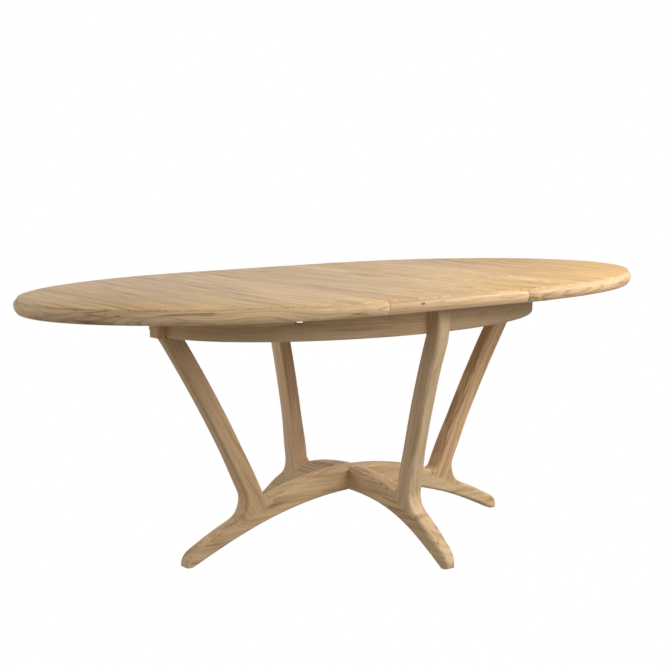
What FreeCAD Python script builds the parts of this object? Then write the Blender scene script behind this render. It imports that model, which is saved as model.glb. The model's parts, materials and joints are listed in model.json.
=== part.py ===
"""Extending oval dining table, drawn open around its insert leaf.

Millimetres, +Z up. The origin is on the floor under the middle of the table,
+X runs along the length and -Y is the front. Two half tops slide apart on
runners, a loose leaf fills the gap between them, and an oval apron stands on
four splayed legs that rise from two arched, half-lapped foot beams.
"""
import FreeCAD, Part
import math
import os

Vector = FreeCAD.Vector

# ---------------------------------------------------------------- the top
top_height = 750.0          # floor to the upper face of the top
top_reach = 775.0           # seam to the far end of each half top
top_half_width = 475.0      # centre line to the front edge
leaf_length = 490.0         # length of the insert leaf between the seams
panel_thickness = 25.0      # glued-up panel of the halves and the leaf
edge_depth = 38.0           # full depth of the rounded nosing
nosing_width = 9.0          # how far the nosing stands out of the panel
nosing_step = 2.5           # drop from the panel's face to the nosing
nosing_lap = 36.0           # how far the nosing reaches in under the panel
nosing_roundness = 2.4      # exponent of the nosing's bulge
widest_drop = 17.0          # depth at which the nosing is widest
seam_gap = 0.4              # open joint between leaf and half top
slide_clearance = 0.3       # apron and rails to the undersides that pass over

# ---------------------------------------------------------------- the apron
end_overhang = 386.0        # apron to the far end of the drawn-out top
side_overhang = 110.0       # apron to the front edge
apron_thickness = 22.0
apron_height = 90.0
apron_rounding = 10.0       # lower outer edge

# ------------------------------------------------- runners and their guides
runner_inset = 87.0         # apron's outer face at the side to a runner's middle
runner_width = 22.0
runner_depth = 42.0         # outer stretch, which rides in the apron's notch
runner_slim_depth = 30.0    # inner stretch, beside the guide rail
runner_slim_length = 157.0
runner_length = 450.0
runner_sweep = 200.0        # the outer end sweeps up over this length
runner_end_depth = 24.0
runner_setback = 5.0        # seam to the inner end of a runner
notch_side_clearance = 1.0
notch_floor_clearance = 0.5
rail_thickness = 20.0
rail_height = 34.7
rail_gap = 0.5              # rail to the runner beside it
tongue_height = 8.0
tongue_reach = 7.0          # how far the tongue stands out of the rail
tongue_seat = 6.0           # how deep it is let into the rail
tongue_drop = 11.0          # underside of the panel to the top of the tongue
tongue_clearance = 0.4
bearer_offset = 130.0       # centre to the middle of a cross bearer
bearer_width = 44.0
bearer_depth = 40.0
glue_block = 28.0           # side of the glue blocks at the bearers' ends
draw_travel = 45.0          # how far a half top still draws out from here
stop_length = 34.0
stop_width = 60.0
stop_depth = 20.0
batten_width = 50.0
batten_depth = 22.0
batten_end_gap = 14.5       # guide rail to the end of a batten
leaf_batten_inset = 55.0    # seam to the middle of the leaf's batten
half_batten_inset = 78.0    # seam to the middle of a half top's batten
peg_radius = 4.0
peg_length = 16.0           # below the leaf's underside
peg_chamfer = 1.0
peg_spacing = 220.0         # between the two pegs of one rail
peg_inset = 8.5             # inner face of the rail to the peg's axis
peg_tip_gap = 2.0
fit_clearance = 0.05        # radial, pins and bolts in their holes

# ---------------------------------------------------------------- the base
beam_width = 52.0
crown_height = 210.0        # top of the beams at their crossing
arch_height = 143.0         # underside of the beams at their crossing
sole_length = 24.0          # flat of each foot
nose_rise = 4.0             # small bevel under each toe
toe_narrowing = 11.0        # how much each side of a toe tapers in
toe_length = 45.0           # the toe proper, where most of that taper lies
taper_delay = 15.0          # the sides stay parallel this far past the leg
foot_crown = 1.5            # swell of a foot's upper line
leg_thickness = 53.0        # in the plane of its beam
leg_width = 44.0            # across that plane
leg_bow = 9.45              # how far a leg's centre line dips below its chord
waist_height = 200.0        # where the legs' feet are measured
leg_root = 78.0             # how far a leg's blank starts below that, inside the beam
flare_foot = 212.0          # up to here a leg is as wide as the beam
flare_top = 320.0           # from here up it has its own width
inner_fillet = 20.0         # leg to beam, towards the crossing
outer_fillet = 58.0         # leg to foot
upper_rounding = 10.0       # arrises of legs and upper arrises of beams
lower_rounding = 8.0        # lower arrises of the beams
seat_depth = 14.0           # how deep a leg is housed in its beam
tenon_thickness = 14.0
tenon_width = 34.0
tenon_depth = 26.0          # into the leg and into the beam
glide_radius = 8.0
glide_thickness = 3.0
glide_proud = 1.0           # glide below the sole

# the beam along the table with its two legs
long_toe_past_apron = -62.0     # apron's outer face to the toe
long_leg_foot = 209.0           # toe to the leg's centre line at waist height
long_leg_head = -26.7           # apron's face to that line at the apron's lower edge
long_leg_proud = 30.0           # leg's upright outer face to the apron's face
long_knee_rise = 63.3           # apron's lower edge to the start of that face
long_seat_inset = 272.0         # toe to the inner edge of the leg's seat
long_crown_fall = 52.0          # crown of the beam to that edge
long_foot_inset = 159.0         # toe to the start of the foot
long_foot_height = 106.0
long_toe_inset = 32.0           # toe to the end of the foot's upper line
long_toe_height = 47.0
long_fullness = 1.9             # exponent of the arch

# the beam across the table with its two legs
cross_toe_past_apron = 79.0
cross_leg_foot = 176.0
cross_leg_head = 14.7
cross_leg_proud = 43.0
cross_knee_rise = 35.3
cross_seat_inset = 229.0
cross_crown_fall = 30.0
cross_foot_inset = 125.0
cross_foot_height = 129.0
cross_toe_inset = 36.0
cross_toe_height = 62.0
cross_fullness = 2.5

# ---------------------------------------------------------------- fasteners
block_depth = 48.0          # leg block, apron to its inner face
block_width = 90.0
block_height = 74.0
bolt_radius = 4.0
bolt_pitch = 30.0
bolt_middle = 45.0          # apron's lower edge to the middle of the pair
bolt_head_radius = 6.5
bolt_head_height = 5.3
bolt_reach_in_leg = 12.0
bolt_hole_spare = 2.0       # hole past the bolt's tip
insert_radius = 6.0
insert_length = 13.0
insert_sink = 0.5           # insert below the leg's inner face
washer_radius = 9.0
washer_thickness = 1.6
crossing_bolt_cover = 16.0  # wood left above the bolt in the half lap
crossing_head_gap = 1.5     # counterbore round its head
screw_radius = 2.0
screw_head_radius = 4.0
screw_head_height = 2.4
screw_bite = 14.0           # depth of a screw in the panel
screw_offset = 3.0          # screws off a runner's middle, clear of its groove

# ------------------------------------------------------------ derived places
leaf_half = leaf_length / 2.0
panel_under = top_height - panel_thickness
frame_top = panel_under - slide_clearance
apron_bottom = frame_top - apron_height
apron_reach = leaf_half + top_reach - end_overhang
apron_half_width = top_half_width - side_overhang
runner_offset = apron_half_width - runner_inset
rail_bottom = frame_top - rail_height
rail_face = runner_offset - runner_width / 2.0 - rail_gap
rail_back = rail_face - rail_thickness
tongue_top = panel_under - tongue_drop
batten_half_length = rail_back - batten_end_gap
nosing_reach = nosing_width + nosing_lap
cut_margin = 1.0            # cutting shapes run this far past what they cut

parts = {}


def add(name, shape):
    """Keep a finished shape under its node's name."""
    parts[name] = shape


def segment(start, end):
    return Part.LineSegment(Vector(*start), Vector(*end)).toShape()


def smooth(points, first=None, last=None):
    """An edge through the points, with optional end directions."""
    curve = Part.BSplineCurve()
    places = [Vector(*point) for point in points]
    if first is None:
        curve.interpolate(places)
    else:
        curve.interpolate(Points=places, InitialTangent=first, FinalTangent=last)
    return curve.toShape()


def face_of(edges):
    return Part.Face(Part.Wire(Part.__sortEdges__(edges)))


def polygon(points):
    closed = points + points[:1]
    return Part.Face(Part.makePolygon([Vector(*point) for point in closed]))


def box(low, high):
    size = [high[i] - low[i] for i in range(3)]
    return Part.makeBox(size[0], size[1], size[2], Vector(*low))


def rod(radius, start, direction, length):
    return Part.makeCylinder(radius, length, Vector(*start), Vector(*direction))


def mirrored(shape, axis):
    """Copy a shape to the other side of the centre plane across the axis."""
    normal = Vector(1, 0, 0) if axis == "x" else Vector(0, 1, 0)
    return shape.mirror(Vector(0, 0, 0), normal)


def turned_to(shape, axis):
    """Turn a shape made along +X so that it lies along the axis."""
    turned = shape.copy()
    if axis == "y":
        turned.rotate(Vector(0, 0, 0), Vector(0, 0, 1), 90)
    return turned


# ------------------------------------------------------------------ the top
def nosing_inset(drop):
    """How far the nosing stands back from its widest line at a depth."""
    if drop < widest_drop:
        share = (widest_drop - drop) / (widest_drop - nosing_step)
    else:
        share = (drop - widest_drop) / (edge_depth - widest_drop)
    return nosing_width * share ** nosing_roundness


def nosing_levels():
    upper = [nosing_step + (widest_drop - nosing_step) * t for t in (0.0, 0.18, 0.5, 1.0)]
    lower = [widest_drop + (edge_depth - widest_drop) * t for t in (0.45, 0.8, 1.0)]
    return upper + lower


def half_oval(inset, z):
    """Half-ellipse wire of the right half top, closed along its seam."""
    seam = leaf_half + seam_gap
    reach = top_reach - seam_gap - inset
    half_width = top_half_width - inset
    centre = Vector(seam, 0, z)
    across = centre + Vector(0, half_width, 0)
    if reach >= half_width:
        ellipse = Part.Ellipse(centre + Vector(reach, 0, 0), across, centre)
        arc = Part.ArcOfEllipse(ellipse, -math.pi / 2, math.pi / 2).toShape()
    else:
        ellipse = Part.Ellipse(across, centre - Vector(reach, 0, 0), centre)
        arc = Part.ArcOfEllipse(ellipse, math.pi, 2 * math.pi).toShape()
    seam_line = segment((seam, half_width, z), (seam, -half_width, z))
    return Part.Wire(Part.__sortEdges__([arc, seam_line]))


def half_oval_prism(inset, low, high):
    return Part.Face(half_oval(inset, low)).extrude(Vector(0, 0, high - low))


def half_panel():
    return half_oval_prism(nosing_width, panel_under, top_height)


def half_nosing():
    wires = [half_oval(nosing_inset(drop), top_height - drop) for drop in nosing_levels()]
    body = Part.makeLoft(wires, True, False)
    inner = half_oval_prism(nosing_reach, top_height - edge_depth - cut_margin, top_height)
    return body.cut(half_panel()).cut(inner)


def leaf_panel():
    half_width = top_half_width - nosing_width
    return box((-leaf_half, -half_width, panel_under), (leaf_half, half_width, top_height))


def leaf_section(inset, z):
    """Rectangle as long as the leaf, for a level of its front nosing."""
    front = inset - top_half_width
    back = nosing_reach - top_half_width
    corners = [(-leaf_half, front, z), (leaf_half, front, z), (leaf_half, back, z), (-leaf_half, back, z)]
    return polygon(corners).OuterWire


def leaf_nosing():
    """Front nosing of the leaf: the half tops' profile run straight."""
    wires = [leaf_section(nosing_inset(drop), top_height - drop) for drop in nosing_levels()]
    return Part.makeLoft(wires, True, False).cut(leaf_panel())


# ---------------------------------------------------------------- the apron
def oval_prism(reach, half_width, low, high):
    if reach >= half_width:
        ellipse = Part.Ellipse(Vector(reach, 0, low), Vector(0, half_width, low), Vector(0, 0, low))
    else:
        ellipse = Part.Ellipse(Vector(0, half_width, low), Vector(-reach, 0, low), Vector(0, 0, low))
    return Part.Face(Part.Wire([ellipse.toShape()])).extrude(Vector(0, 0, high - low))


def apron_outside(low, high):
    return oval_prism(apron_reach, apron_half_width, low, high)


def apron_inside(low, high):
    return oval_prism(apron_reach - apron_thickness, apron_half_width - apron_thickness, low, high)


def runner_notch():
    """Slot that lets a runner through the apron, front right."""
    half = runner_width / 2.0 + notch_side_clearance
    floor = panel_under - runner_depth - notch_floor_clearance
    low = (apron_reach * 0.3, -runner_offset - half, floor)
    return box(low, (apron_reach, -runner_offset + half, frame_top + cut_margin))


def apron_quarter():
    """Front right quarter of the bent apron."""
    body = apron_outside(apron_bottom, frame_top)
    lower = [edge for edge in body.Edges if edge.BoundBox.ZMax < apron_bottom + cut_margin]
    body = body.makeFillet(apron_rounding, lower)
    ring = body.cut(apron_inside(apron_bottom, frame_top))
    corner = box((0, -apron_half_width, apron_bottom), (apron_reach, 0, frame_top))
    return ring.common(corner).cut(runner_notch())


# ------------------------------------------------------ runners and guides
def runner_groove():
    """Groove in the inner face of the front right runner, for the tongue."""
    start = leaf_half + runner_setback - cut_margin
    end = start + runner_slim_length + runner_depth
    inner = -runner_offset + runner_width / 2.0
    depth = tongue_reach - rail_gap + 2 * tongue_clearance
    low = (start, inner - depth, tongue_top - tongue_height - tongue_clearance)
    return box(low, (end, inner + cut_margin, tongue_top + tongue_clearance))


def runner():
    """Front runner of the right half top, swept up at its outer end."""
    start = leaf_half + runner_setback
    step = start + runner_slim_length
    end = start + runner_length
    front = -runner_offset - runner_width / 2.0
    slim = panel_under - runner_slim_depth
    deep = panel_under - runner_depth
    outline = [(start, front, panel_under), (start, front, slim), (step, front, slim), (step, front, deep)]
    outline += [(end - runner_sweep, front, deep), (end, front, panel_under - runner_end_depth)]
    outline.append((end, front, panel_under))
    return polygon(outline).extrude(Vector(0, runner_width, 0)).cut(runner_groove())


def guide_tongue():
    """Hardwood slip glued into the front rail, which holds the runners down."""
    low = (-apron_reach, -rail_face - tongue_reach, tongue_top - tongue_height)
    slip = box(low, (apron_reach, -rail_face + tongue_seat, tongue_top))
    return slip.common(apron_inside(rail_bottom, frame_top))


def guide_rail():
    """Front rail, scribed at both ends to the inside of the apron."""
    blank = box((-apron_reach, -rail_face, rail_bottom), (apron_reach, -rail_back, frame_top))
    rail = blank.common(apron_inside(rail_bottom, frame_top)).cut(guide_tongue())
    return rail.cut(peg_hole(-1)).cut(peg_hole(1))


def cross_bearer():
    """Bearer under the guide rails, right of the middle."""
    left = bearer_offset - bearer_width / 2.0
    low = (left, -apron_half_width, rail_bottom - bearer_depth)
    high = (left + bearer_width, apron_half_width, rail_bottom)
    return box(low, high).common(apron_inside(low[2], high[2]))


def bearer_glue_blocks():
    """Four square blocks that glue the bearers' ends to the apron."""
    edge = bearer_offset + bearer_width / 2.0
    low_z = rail_bottom - bearer_depth
    end = -apron_half_width + apron_thickness + glue_block
    blank = box((edge, -apron_half_width, low_z), (edge + glue_block, end, rail_bottom))
    block = blank.common(apron_inside(low_z, rail_bottom))
    pair = [block, mirrored(block, "x")]
    return Part.makeCompound(pair + [mirrored(item, "y") for item in pair])


def block_face():
    """Inner face of the leg blocks at the table's ends."""
    return apron_reach - apron_thickness - block_depth


def draw_stop():
    """Block under the right half top that meets the leg block when drawn."""
    end = block_face() - draw_travel - slide_clearance
    half = stop_width / 2.0
    return box((end - stop_length, -half, panel_under - stop_depth), (end, half, panel_under))


def batten(middle):
    low = (middle - batten_width / 2.0, -batten_half_length, panel_under - batten_depth)
    return box(low, (middle + batten_width / 2.0, batten_half_length, panel_under))


def peg_place(side):
    return side * peg_spacing / 2.0, -rail_back - peg_inset


def peg_hole(side):
    x, y = peg_place(side)
    depth = peg_length + peg_tip_gap
    start = (x, y, panel_under - depth)
    return rod(peg_radius + fit_clearance, start, (0, 0, 1), depth + cut_margin)


def leaf_pegs():
    """Pegs under the leaf that drop into the guide rails."""
    pegs = []
    for side in (-1, 1):
        x, y = peg_place(side)
        tip = Part.makeCone(peg_radius - peg_chamfer, peg_radius, peg_chamfer, Vector(x, y, panel_under - peg_length))
        start = (x, y, panel_under - peg_length + peg_chamfer)
        peg = tip.fuse(rod(peg_radius, start, (0, 0, 1), peg_length - peg_chamfer))
        pegs += [peg, mirrored(peg, "y")]
    return Part.makeCompound(pegs)


# ----------------------------------------------------------------- the base
class Side:
    """One foot beam with a leg at each end, drawn along +X."""

    def __init__(self, apron_face, past_apron, leg_foot, leg_head, leg_proud, knee_rise):
        self.apron_face = apron_face
        self.reach = apron_face + past_apron
        self.foot_radius = self.reach - leg_foot
        self.head_radius = apron_face + leg_head
        self.leg_face = apron_face + leg_proud
        self.knee = apron_bottom + knee_rise

    def shape_beam(self, seat_inset, crown_fall, foot_inset, foot_height, toe_inset, toe_height, fullness):
        self.seat = (self.reach - seat_inset, crown_height - crown_fall)
        self.foot = (self.reach - foot_inset, foot_height)
        self.toe = (self.reach - toe_inset, toe_height)
        self.fullness = fullness

    def arch(self, x):
        """Height of the beam's underside at a distance from the crossing."""
        share = min(1.0, abs(x) / (self.reach - sole_length))
        return glide_proud + (arch_height - glide_proud) * (1 - share ** self.fullness)

    def leg_centre(self, z):
        """The leg's centre line: a chord with a slight dip towards the crossing."""
        share = (z - waist_height) / (apron_bottom - waist_height)
        chord = self.foot_radius + (self.head_radius - self.foot_radius) * share
        return chord - 4 * leg_bow * share * (1 - share)

    def leg_lean(self, z):
        """How much the leg's centre line runs outwards for each step up."""
        rise = apron_bottom - waist_height
        share = (z - waist_height) / rise
        return (self.head_radius - self.foot_radius - 4 * leg_bow * (1 - 2 * share)) / rise

    def leg_half_depth(self, z):
        """Half the leg's thickness, measured level."""
        return leg_thickness / 2.0 * math.sqrt(1 + self.leg_lean(z) ** 2)


def long_side():
    side = Side(apron_reach, long_toe_past_apron, long_leg_foot, long_leg_head, long_leg_proud, long_knee_rise)
    side.shape_beam(long_seat_inset, long_crown_fall, long_foot_inset, long_foot_height,
                    long_toe_inset, long_toe_height, long_fullness)
    return side


def cross_side():
    side = Side(apron_half_width, cross_toe_past_apron, cross_leg_foot, cross_leg_head,
                cross_leg_proud, cross_knee_rise)
    side.shape_beam(cross_seat_inset, cross_crown_fall, cross_foot_inset, cross_foot_height,
                    cross_toe_inset, cross_toe_height, cross_fullness)
    return side


def beam_outline(side):
    """Side view of half a beam: arch, sole, toe and upper line."""
    sole_start = side.reach - sole_length
    arch = []
    for i in range(8):
        x = sole_start * (1 - (1 - i / 7.0) ** 1.3)
        arch.append((x, 0, side.arch(x)))
    seat_x, seat_z = side.seat
    middle_x = (side.foot[0] + side.toe[0]) / 2
    middle_z = (side.foot[1] + side.toe[1]) / 2 + foot_crown
    upper = [(0, 0, crown_height), (seat_x / 2, 0, crown_height - (crown_height - seat_z) / 4)]
    upper += [(seat_x, 0, seat_z), (side.foot[0], 0, side.foot[1])]
    upper += [(middle_x, 0, middle_z), (side.toe[0], 0, side.toe[1])]
    fall = Vector(side.toe[0] - side.foot[0], 0, side.toe[1] - side.foot[1]).normalize()
    tip = (side.reach, 0, glide_proud + nose_rise)
    sole_end = (side.reach - nose_rise, 0, glide_proud)
    edges = [smooth(arch), segment(arch[-1], sole_end), segment(sole_end, tip)]
    edges.append(smooth([upper[-1], tip], fall, Vector(-0.1, 0, -1)))
    edges.append(smooth(upper, Vector(1, 0, 0), fall))
    edges.append(segment(upper[0], arch[0]))
    return face_of(edges)


def toe_taper(side, hand):
    """One side of the foot seen from above, tapering to the toe."""
    half = beam_width / 2.0
    start = (side.foot[0] + taper_delay, hand * half, 0)
    middle = (side.reach - toe_length, hand * (half - 0.3 * toe_narrowing), 0)
    end = (side.reach + cut_margin, hand * (half - toe_narrowing), 0)
    return smooth([start, middle, end], Vector(1, 0, 0), Vector(1, hand * -0.35, 0)), start, end


def beam_plan(side):
    """Half a beam seen from above."""
    half = beam_width / 2.0
    edges = []
    ends = []
    for hand in (1, -1):
        taper, start, end = toe_taper(side, hand)
        edges += [taper, segment((0, hand * half, 0), start)]
        ends.append(end)
    edges.append(segment(ends[0], ends[1]))
    edges.append(segment((0, half, 0), (0, -half, 0)))
    return face_of(edges)


def glide(side):
    x = side.reach - sole_length / 2.0 - nose_rise / 2.0
    return rod(glide_radius, (x, 0, 0), (0, 0, 1), glide_thickness)


def half_beam(side):
    """Half a foot beam along +X, before its arrises are rounded."""
    profile = beam_outline(side)
    profile.translate(Vector(0, -beam_width / 2.0, 0))
    body = profile.extrude(Vector(0, beam_width, 0))
    plan = beam_plan(side).extrude(Vector(0, 0, top_height))
    return body.common(plan).cut(glide(side))


def leg_outline(side):
    """Side view of a leg, from inside the beam to above the apron."""
    low = waist_height - leg_root
    high = frame_top + nose_rise
    inner = []
    outer = []
    for i in range(8):
        z = low + (high - low) * i / 7.0
        middle = side.leg_centre(z)
        half = side.leg_half_depth(z)
        inner.append((middle - half, 0, z))
        if z < side.knee - leg_thickness / 2.0 and middle + half < side.leg_face - leg_thickness / 5.0:
            outer.append((middle + half, 0, z))
    outer.append((side.leg_face, 0, side.knee))
    crest = (side.leg_face, 0, high)
    edges = [smooth(inner), segment(inner[-1], crest), segment(crest, outer[-1])]
    edges.append(smooth(outer, Vector(side.leg_lean(low), 0, 1), Vector(0, 0, 1)))
    edges.append(segment(outer[0], inner[0]))
    return face_of(edges)


def leg_front(side):
    """Outline of a leg seen along its beam, as a long prism."""
    wide = beam_width / 2.0
    slim = leg_width / 2.0
    between = (wide + slim) / 2.0
    upright = Vector(0, 0, 1)
    edges = []
    for hand in (1, -1):
        flare = [(0, hand * wide, flare_foot), (0, hand * between, (flare_foot + flare_top) / 2.0)]
        flare.append((0, hand * slim, flare_top))
        edges.append(segment((0, hand * wide, 0), (0, hand * wide, flare_foot)))
        edges.append(smooth(flare, upright, upright))
        edges.append(segment((0, hand * slim, flare_top), (0, hand * slim, top_height)))
    edges.append(segment((0, -wide, 0), (0, wide, 0)))
    edges.append(segment((0, -slim, top_height), (0, slim, top_height)))
    return face_of(edges).extrude(Vector(side.leg_face + leg_thickness, 0, 0))


def leg_blank(side):
    """Leg along +X, bowed in its plane and flared to the beam's width."""
    profile = leg_outline(side)
    profile.translate(Vector(0, -beam_width / 2.0, 0))
    below = box((0, -beam_width, 0), (side.leg_face + cut_margin, beam_width, frame_top))
    return profile.extrude(Vector(0, beam_width, 0)).common(leg_front(side)).common(below)


def runs_across(edge):
    """Whether an edge is straight and runs across the beam."""
    if len(edge.Vertexes) < 2:
        return False
    step = edge.Vertexes[1].Point - edge.Vertexes[0].Point
    return abs(step.y) > leg_width / 2.0 and abs(step.x) + abs(step.z) < cut_margin / 50


def meeting_edge(shape, side, outermost):
    """Edge across the beam where a face of the leg meets its upper line."""
    found = []
    for edge in shape.Edges:
        place = edge.Vertexes[0].Point
        inside = side.seat[0] - inner_fillet / 2 < place.x < side.foot[0] - cut_margin
        if inside and arch_height / 2 < place.z < flare_foot and runs_across(edge):
            found.append((place.x, edge))
    found.sort(key=lambda item: item[0])
    return found[-1 if outermost else 0][1]


def arrises(shape, side):
    """Long edges between a side and a contour face: upper and lower ones."""
    upper = []
    lower = []
    for edge in shape.Edges:
        place = edge.valueAt((edge.FirstParameter + edge.LastParameter) / 2)
        if runs_across(edge) or abs(place.x) < cut_margin or place.z > frame_top - cut_margin:
            continue
        if place.z < glide_proud + nose_rise + cut_margin:
            continue
        faces = [face for face in shape.Faces if any(item.isSame(edge) for item in face.Edges)]
        turns = sorted(abs(face.normalAt(*face.Surface.parameter(place)).y) for face in faces)
        if len(turns) == 2 and turns[0] < 0.5 and turns[1] > 0.75:
            group = lower if place.z < side.arch(place.x) + lower_rounding else upper
            group.append(edge)
    return upper, lower


def sculpted(side):
    """Half beam and leg as one faired form, as they are shaped together."""
    form = half_beam(side).fuse(leg_blank(side)).removeSplitter()
    form = form.makeFillet(inner_fillet, [meeting_edge(form, side, False)])
    form = form.makeFillet(outer_fillet, [meeting_edge(form, side, True)])
    form = form.makeFillet(upper_rounding, arrises(form, side)[0])
    return form.makeFillet(lower_rounding, arrises(form, side)[1])


def leg_head(side):
    """Square head of a leg, where it laps over the apron."""
    low = (side.apron_face - apron_thickness / 2.0, -leg_width / 2.0, apron_bottom)
    return box(low, (side.leg_face - upper_rounding, leg_width / 2.0, frame_top))


def leg_zone(side):
    """Everything above the housing that a leg is let into."""
    inner = side.seat[0] - inner_fillet * 0.4
    outer, shoulder = side.foot
    far = side.leg_face + leg_thickness
    rise = shoulder + seat_depth
    points = [(inner, 0, side.seat[1] - seat_depth), (outer, 0, shoulder - seat_depth), (outer, 0, rise)]
    points += [(far, 0, rise), (far, 0, top_height), (inner, 0, top_height)]
    zone = polygon(points)
    zone.translate(Vector(0, -beam_width, 0))
    return zone.extrude(Vector(0, 2 * beam_width, 0))


def leg_tenon(side):
    """Loose tenon square to the seat, between leg and beam."""
    start = Vector(side.seat[0], 0, side.seat[1] - seat_depth)
    end = Vector(side.foot[0], 0, side.foot[1] - seat_depth)
    corner = Vector(-tenon_width / 2.0, -tenon_thickness / 2.0, -tenon_depth)
    block = Part.makeBox(tenon_width, tenon_thickness, 2 * tenon_depth, corner)
    slope = math.degrees(math.atan2(start.z - end.z, end.x - start.x))
    block.rotate(Vector(0, 0, 0), Vector(0, 1, 0), slope)
    block.translate(start + (end - start) * 0.45)
    return block


def bolt_heights():
    middle = apron_bottom + bolt_middle
    return middle - bolt_pitch / 2.0, middle + bolt_pitch / 2.0


def leg_block(side):
    """Block inside the apron behind a leg, along +X."""
    middle = apron_bottom + apron_height / 2.0
    inner = side.apron_face - apron_thickness - block_depth
    low = (inner, -block_width / 2.0, middle - block_height / 2.0)
    return box(low, (side.apron_face, block_width / 2.0, middle + block_height / 2.0))


def leg_bolt(side, z):
    """Hexagon bolt through leg block and apron into the leg, along +X."""
    seat = side.apron_face - apron_thickness - block_depth - washer_thickness
    shank = rod(bolt_radius, (seat, 0, z), (1, 0, 0), side.apron_face + bolt_reach_in_leg - seat)
    corners = []
    for i in range(6):
        angle = math.radians(60 * i)
        y = bolt_head_radius * math.cos(angle)
        corners.append((seat, y, z + bolt_head_radius * math.sin(angle)))
    return shank.fuse(polygon(corners).extrude(Vector(-bolt_head_height, 0, 0))).removeSplitter()


def bolt_hole(side, z):
    start = side.apron_face - apron_thickness - block_depth - cut_margin
    end = side.apron_face + bolt_reach_in_leg + bolt_hole_spare
    return rod(bolt_radius + fit_clearance, (start, 0, z), (1, 0, 0), end - start)


def bolt_washer(side, z):
    start = (side.apron_face - apron_thickness - block_depth - washer_thickness, 0, z)
    disc = rod(washer_radius, start, (1, 0, 0), washer_thickness)
    return disc.cut(rod(bolt_radius + fit_clearance, start, (1, 0, 0), washer_thickness))


def leg_insert(side, z):
    """Threaded insert in the leg's head, sunk from its inner face."""
    start = (side.apron_face + insert_sink, 0, z)
    body = rod(insert_radius, start, (1, 0, 0), insert_length)
    return body.cut(rod(bolt_radius + fit_clearance, start, (1, 0, 0), insert_length))


def crossing_lap(low, high):
    half = beam_width / 2.0
    return box((-half, -half, low), (half, half, high))


def crossing_bolt():
    """Bolt from below that clamps the half lap, with its head let in."""
    seat = arch_height + bolt_head_height + washer_thickness
    shank = rod(bolt_radius, (0, 0, seat), (0, 0, 1), crown_height - crossing_bolt_cover - seat)
    head = rod(bolt_head_radius, (0, 0, seat - bolt_head_height), (0, 0, 1), bolt_head_height)
    return shank.fuse(head).removeSplitter()


def crossing_bore():
    """Bore and counterbore of the bolt in the half lap."""
    depth = crown_height - arch_height - crossing_bolt_cover + peg_tip_gap
    bore = rod(bolt_radius + fit_clearance, (0, 0, arch_height), (0, 0, 1), depth)
    low = arch_height - bolt_head_height
    counterbore = rod(bolt_head_radius + crossing_head_gap, (0, 0, low), (0, 0, 1),
                      2 * bolt_head_height + washer_thickness)
    return bore.fuse(counterbore)


# ----------------------------------------------------------------- fasteners
def wood_screw(x, y, head_z):
    """Countersunk screw driven straight up from head_z into the panel."""
    head = Part.makeCone(screw_head_radius, screw_radius, screw_head_height, Vector(x, y, head_z))
    start = head_z + screw_head_height
    shank = rod(screw_radius, (x, y, start), (0, 0, 1), panel_under + screw_bite - start)
    return head.fuse(shank).removeSplitter()


def half_top_screws():
    """Screws that hold runners, batten and stop to the right half top."""
    screws = []
    start = leaf_half + runner_setback
    y = runner_offset + screw_offset
    for share in (0.08, 0.27, 0.5, 0.9):
        x = start + runner_length * share
        depth = runner_slim_depth if x < start + runner_slim_length else runner_depth
        swept = (x - start - runner_length + runner_sweep) / runner_sweep
        depth -= max(0.0, swept) * (runner_depth - runner_end_depth)
        screws += [wood_screw(x, -y, panel_under - depth), wood_screw(x, y, panel_under - depth)]
    screws += batten_screws(leaf_half + half_batten_inset)
    middle = draw_stop().BoundBox.Center.x
    for hand in (-1, 1):
        screws.append(wood_screw(middle, hand * stop_width / 4.0, panel_under - stop_depth))
    return screws


def batten_screws(middle):
    places = [share * batten_half_length for share in (-0.8, -0.3, 0.3, 0.8)]
    return [wood_screw(middle, y, panel_under - batten_depth) for y in places]


def cut_screws(shape, screws):
    """Cut the holes of those screws that enter a piece."""
    for screw in screws:
        if shape.BoundBox.intersect(screw.BoundBox):
            shape = shape.cut(screw)
    return shape


# ------------------------------------------------------------------ assembly
def build_side(side, axis, near, far, groups):
    """Legs, leg blocks and hardware of one foot beam; returns the beam."""
    form = sculpted(side)
    zone = leg_zone(side)
    tenon = leg_tenon(side)
    holes = [bolt_hole(side, z) for z in bolt_heights()]
    inserts = [leg_insert(side, z) for z in bolt_heights()]
    leg = form.common(zone).fuse(leg_head(side)).removeSplitter().cut(tenon)
    for bore in holes + inserts:
        leg = leg.cut(bore)
    leg = turned_to(leg, axis).cut(apron_outside(apron_bottom, top_height))
    block = turned_to(leg_block(side), axis).common(apron_inside(apron_bottom, frame_top))
    for hole in holes:
        block = block.cut(turned_to(hole, axis))
    add("leg_" + near, leg)
    add("leg_" + far, mirrored(leg, axis))
    add("leg_block_" + near, block)
    add("leg_block_" + far, mirrored(block, axis))
    loose = {"leg_tenons": [tenon], "foot_glides": [glide(side)], "leg_inserts": inserts, "holes": holes}
    loose["leg_bolts"] = [leg_bolt(side, z) for z in bolt_heights()]
    loose["leg_bolt_washers"] = [bolt_washer(side, z) for z in bolt_heights()]
    for name, shapes in loose.items():
        for shape in shapes:
            placed = turned_to(shape, axis)
            groups.setdefault(name, []).extend([placed, mirrored(placed, axis)])
    beam = turned_to(form.cut(zone).cut(tenon), axis)
    return beam.fuse(mirrored(beam, axis)).removeSplitter()


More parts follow.
